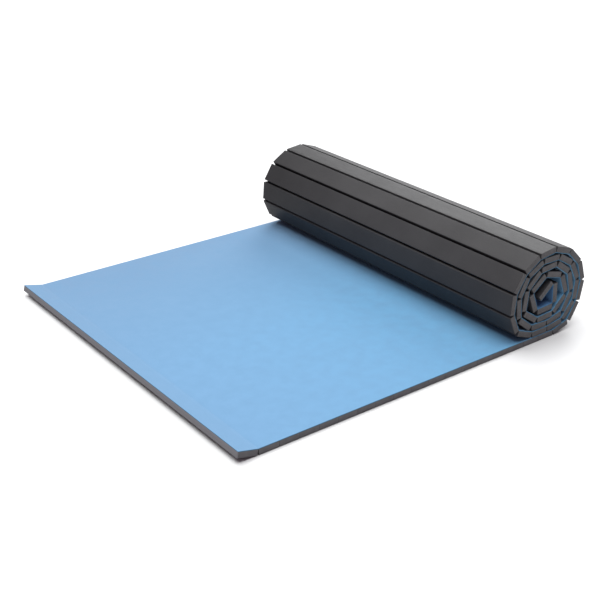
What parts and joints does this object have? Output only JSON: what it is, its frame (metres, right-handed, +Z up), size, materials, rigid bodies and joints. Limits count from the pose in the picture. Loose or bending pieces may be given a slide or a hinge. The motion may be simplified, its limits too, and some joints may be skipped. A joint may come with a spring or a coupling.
{
  "type": "roll-out foam gym mat",
  "caption": "Blue carpeted foam martial-arts floor mat, slit underneath into hinged slats, partly unrolled: one end lies flat, the rest winds into a roll.",
  "frame": {"origin": "bottom centre of the bounding box in the stored, partly unrolled pose", "axes": "+X along the mat from the free end to the roll, +Y across its width, +Z up"},
  "size_m": [1.897, 1.829, 0.4409],
  "materials": {
    "foam": "closed-cell polyethylene foam, charcoal, matt skin",
    "carpet": "needle-punch carpet, light blue, matt"
  },
  "bodies": {
    "ground_section": {"slat_12": "foam", "slat_13": "foam", "slat_14": "foam", "slat_15": "foam", "slat_16": "foam", "slat_17": "foam", "slat_18": "foam", "carpet": "carpet"},
    "slat_01": {"slat_01": "foam"},
    "slat_02": {"slat_02": "foam"},
    "slat_03": {"slat_03": "foam"},
    "slat_04": {"slat_04": "foam"},
    "slat_05": {"slat_05": "foam"},
    "slat_06": {"slat_06": "foam"},
    "slat_07": {"slat_07": "foam"},
    "slat_08": {"slat_08": "foam"},
    "slat_09": {"slat_09": "foam"},
    "slat_10": {"slat_10": "foam"},
    "slat_11": {"slat_11": "foam"},
    "slat_19": {"slat_19": "foam"},
    "slat_20": {"slat_20": "foam"},
    "slat_21": {"slat_21": "foam"},
    "slat_22": {"slat_22": "foam"},
    "slat_23": {"slat_23": "foam"},
    "slat_24": {"slat_24": "foam"},
    "slat_25": {"slat_25": "foam"},
    "slat_26": {"slat_26": "foam"},
    "slat_27": {"slat_27": "foam"},
    "inner_roll": {"slat_28": "foam", "slat_29": "foam", "slat_30": "foam", "slat_31": "foam", "slat_32": "foam", "slat_33": "foam", "slat_34": "foam", "slat_35": "foam", "slat_36": "foam", "slat_37": "foam", "slat_38": "foam", "slat_39": "foam", "slat_40": "foam", "slat_41": "foam", "slat_42": "foam", "slat_43": "foam", "slat_44": "foam", "slat_45": "foam", "slat_46": "foam", "slat_47": "foam", "slat_48": "foam", "slat_49": "foam", "slat_50": "foam", "slat_51": "foam", "slat_52": "foam", "slat_53": "foam", "slat_54": "foam", "slat_55": "foam", "slat_56": "foam", "slat_57": "foam", "slat_58": "foam", "slat_59": "foam"}
  },
  "joints": [
    {"name": "unroll", "type": "hinge", "parent": "ground_section", "child": "slat_19", "pos_m": [0.76513, 0, 0.02735], "axis": [0, 1, 0], "range_deg": [0, 15], "deforming": ["carpet"]},
    {"name": "slit_19", "type": "hinge", "parent": "slat_19", "child": "slat_20", "pos_m": [0.85689, 0, 0.05194], "axis": [0, 1, 0], "range_deg": [0, 44.51]},
    {"name": "slit_20", "type": "hinge", "parent": "slat_20", "child": "slat_21", "pos_m": [0.90511, 0, 0.13379], "axis": [0, 1, 0], "range_deg": [0, 20.51]},
    {"name": "slit_21", "type": "hinge", "parent": "slat_21", "child": "slat_22", "pos_m": [0.92161, 0, 0.22735], "axis": [0, 1, 0], "range_deg": [0, 28.76]},
    {"name": "slit_22", "type": "hinge", "parent": "slat_22", "child": "slat_23", "pos_m": [0.89107, 0, 0.31731], "axis": [0, 1, 0], "range_deg": [0, 27.01]},
    {"name": "slit_23", "type": "hinge", "parent": "slat_23", "child": "slat_24", "pos_m": [0.82302, 0, 0.3836], "axis": [0, 1, 0], "range_deg": [0, 25.76]},
    {"name": "slit_24", "type": "hinge", "parent": "slat_24", "child": "slat_25", "pos_m": [0.73293, 0, 0.41374], "axis": [0, 1, 0], "range_deg": [0, 24.76]},
    {"name": "slit_25", "type": "hinge", "parent": "slat_25", "child": "slat_26", "pos_m": [0.6385, 0, 0.4034], "axis": [0, 1, 0], "range_deg": [0, 25.26]},
    {"name": "slit_26", "type": "hinge", "parent": "slat_26", "child": "slat_27", "pos_m": [0.5575, 0, 0.35376], "axis": [0, 1, 0], "range_deg": [0, 26.26]},
    {"name": "slit_27", "type": "hinge", "parent": "slat_27", "child": "inner_roll", "pos_m": [0.5068, 0, 0.27342], "axis": [0, 1, 0], "range_deg": [0, 28.01]},
    {"name": "roll_up_end", "type": "hinge", "parent": "ground_section", "child": "slat_11", "pos_m": [0.10013, 0, 0.02735], "axis": [0, 1, 0], "range_deg": [0, 34]},
    {"name": "slit_10", "type": "hinge", "parent": "slat_11", "child": "slat_10", "pos_m": [0.00513, 0, 0.02735], "axis": [0, 1, 0], "range_deg": [0, 35]},
    {"name": "slit_09", "type": "hinge", "parent": "slat_10", "child": "slat_09", "pos_m": [-0.08987, 0, 0.02735], "axis": [0, 1, 0], "range_deg": [0, 37]},
    {"name": "slit_08", "type": "hinge", "parent": "slat_09", "child": "slat_08", "pos_m": [-0.18487, 0, 0.02735], "axis": [0, 1, 0], "range_deg": [0, 39]},
    {"name": "slit_07", "type": "hinge", "parent": "slat_08", "child": "slat_07", "pos_m": [-0.27987, 0, 0.02735], "axis": [0, 1, 0], "range_deg": [0, 41]},
    {"name": "slit_06", "type": "hinge", "parent": "slat_07", "child": "slat_06", "pos_m": [-0.37487, 0, 0.02735], "axis": [0, 1, 0], "range_deg": [0, 43]},
    {"name": "slit_05", "type": "hinge", "parent": "slat_06", "child": "slat_05", "pos_m": [-0.46987, 0, 0.02735], "axis": [0, 1, 0], "range_deg": [0, 46]},
    {"name": "slit_04", "type": "hinge", "parent": "slat_05", "child": "slat_04", "pos_m": [-0.56487, 0, 0.02735], "axis": [0, 1, 0], "range_deg": [0, 49]},
    {"name": "slit_03", "type": "hinge", "parent": "slat_04", "child": "slat_03", "pos_m": [-0.65987, 0, 0.02735], "axis": [0, 1, 0], "range_deg": [0, 52]},
    {"name": "slit_02", "type": "hinge", "parent": "slat_03", "child": "slat_02", "pos_m": [-0.75487, 0, 0.02735], "axis": [0, 1, 0], "range_deg": [0, 56]},
    {"name": "slit_01", "type": "hinge", "parent": "slat_02", "child": "slat_01", "pos_m": [-0.84987, 0, 0.02735], "axis": [0, 1, 0], "range_deg": [0, 48]}
  ],
  "couplings": [
    {"joint": "slit_19", "follows": "unroll", "ratio": 2.9667},
    {"joint": "slit_20", "follows": "unroll", "ratio": 1.3667},
    {"joint": "slit_21", "follows": "unroll", "ratio": 1.9167},
    {"joint": "slit_22", "follows": "unroll", "ratio": 1.8},
    {"joint": "slit_23", "follows": "unroll", "ratio": 1.7167},
    {"joint": "slit_24", "follows": "unroll", "ratio": 1.65},
    {"joint": "slit_25", "follows": "unroll", "ratio": 1.6833},
    {"joint": "slit_26", "follows": "unroll", "ratio": 1.75},
    {"joint": "slit_27", "follows": "unroll", "ratio": 1.8667},
    {"joint": "slit_10", "follows": "roll_up_end", "ratio": 1.0294},
    {"joint": "slit_09", "follows": "roll_up_end", "ratio": 1.0882},
    {"joint": "slit_08", "follows": "roll_up_end", "ratio": 1.147},
    {"joint": "slit_07", "follows": "roll_up_end", "ratio": 1.2059},
    {"joint": "slit_06", "follows": "roll_up_end", "ratio": 1.2647},
    {"joint": "slit_05", "follows": "roll_up_end", "ratio": 1.3529},
    {"joint": "slit_04", "follows": "roll_up_end", "ratio": 1.4412},
    {"joint": "slit_03", "follows": "roll_up_end", "ratio": 1.5294},
    {"joint": "slit_02", "follows": "roll_up_end", "ratio": 1.647},
    {"joint": "slit_01", "follows": "roll_up_end", "ratio": 1.4118}
  ]
}
